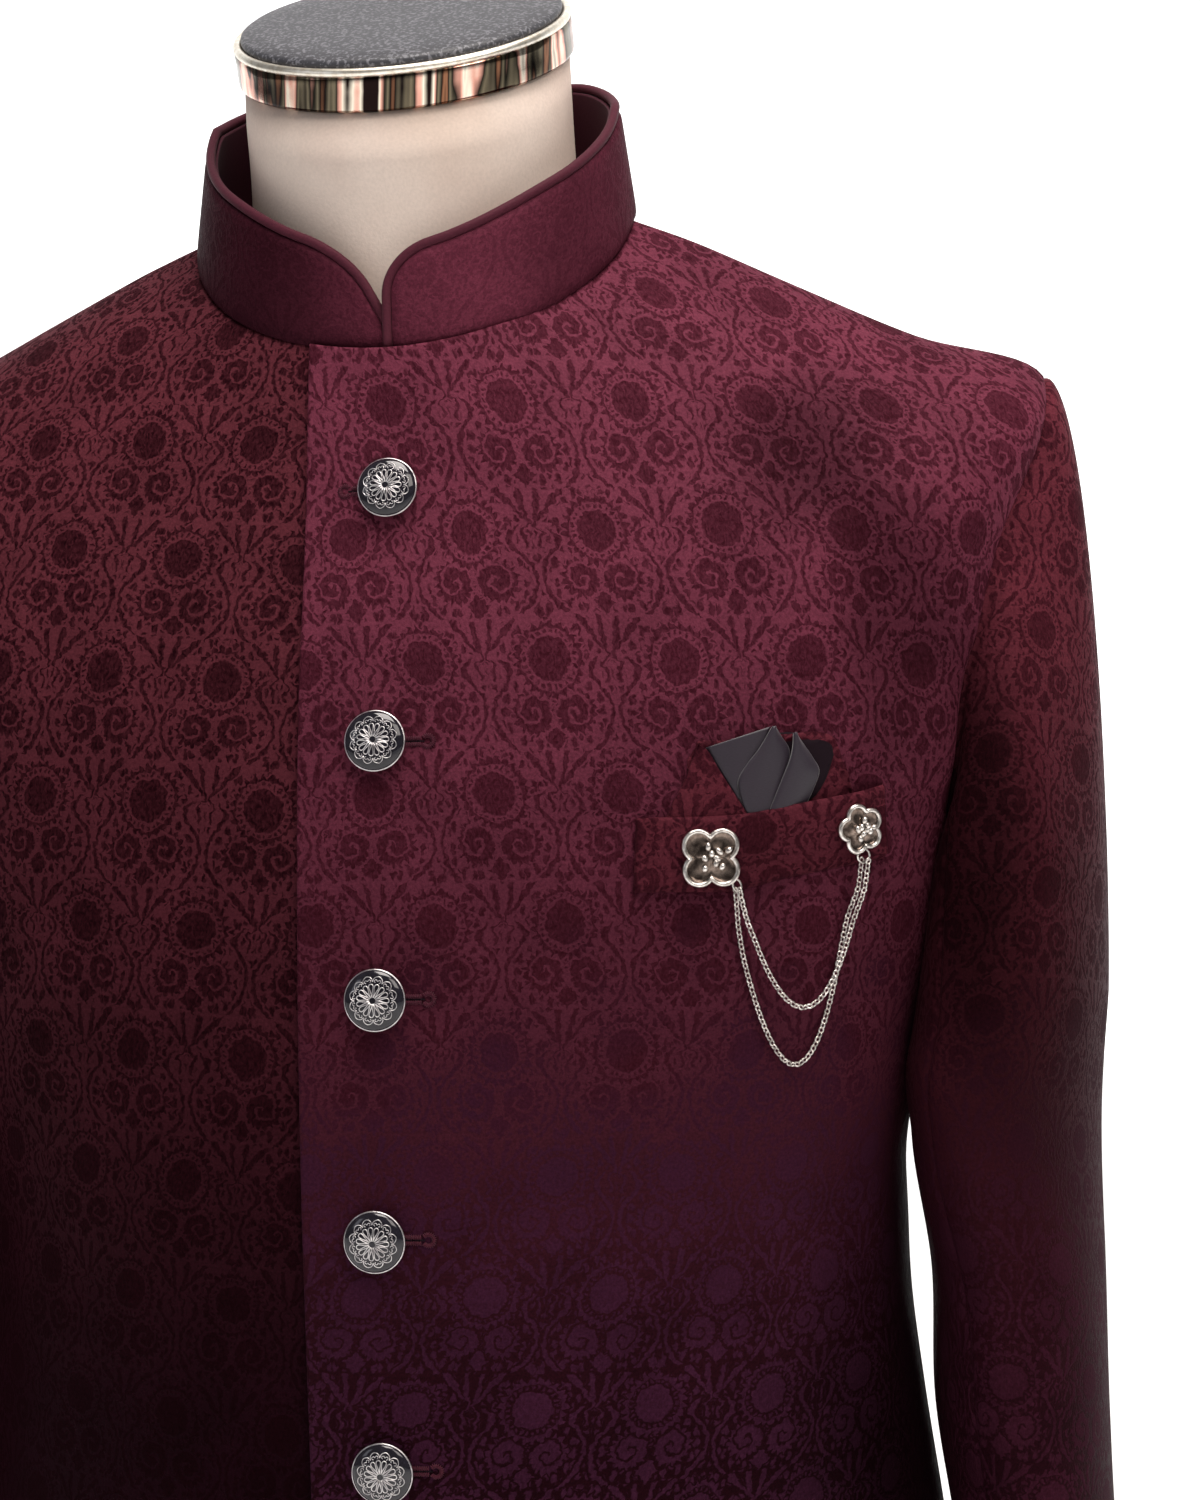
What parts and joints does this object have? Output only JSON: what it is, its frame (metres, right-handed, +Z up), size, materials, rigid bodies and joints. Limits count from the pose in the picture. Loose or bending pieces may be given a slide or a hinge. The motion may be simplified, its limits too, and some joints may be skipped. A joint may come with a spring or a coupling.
{
  "type": "bandhgala jacket on a limbless dress form",
  "caption": "Long-sleeved bandhgala jacket in maroon brocade with a stand collar, domed buttons and a chained pocket brooch, on a limbless dress form.",
  "frame": {"origin": "centre of the dress form's flat underside", "axes": "+X to the wearer's left, -Y to the front, +Z up"},
  "size_m": [0.5236, 0.2601, 0.8661],
  "materials": {
    "brocade": "woven satin figure",
    "dark_piping": "rolled edge",
    "grey_satin": "satin",
    "black_button": "gloss",
    "gunmetal": "dark plated",
    "form_skin": "matt",
    "chrome_band": "polished",
    "dark_cap": "speckled"
  },
  "bodies": {
    "root": {"front_left": "brocade", "front_right": "brocade", "back_left": "brocade", "back_right": "brocade", "sleeve_top_left": "brocade", "sleeve_under_left": "brocade", "sleeve_top_right": "brocade", "sleeve_under_right": "brocade", "collar_outer": "brocade", "collar_inner": "brocade", "collar_piping": "dark_piping", "pocket_welt": "brocade", "pocket_square_back": "brocade", "pocket_square_front": "brocade", "pocket_square_fan": "grey_satin", "brooch_large": "gunmetal", "brooch_small": "gunmetal", "chain_short": "gunmetal", "chain_long": "gunmetal", "dress_form": "form_skin", "neck_cap_band": "chrome_band", "neck_cap_top": "dark_cap", "button_1": "black_button", "button_2": "black_button", "button_3": "black_button", "button_4": "black_button", "button_5": "black_button"}
  },
  "joints": []
}
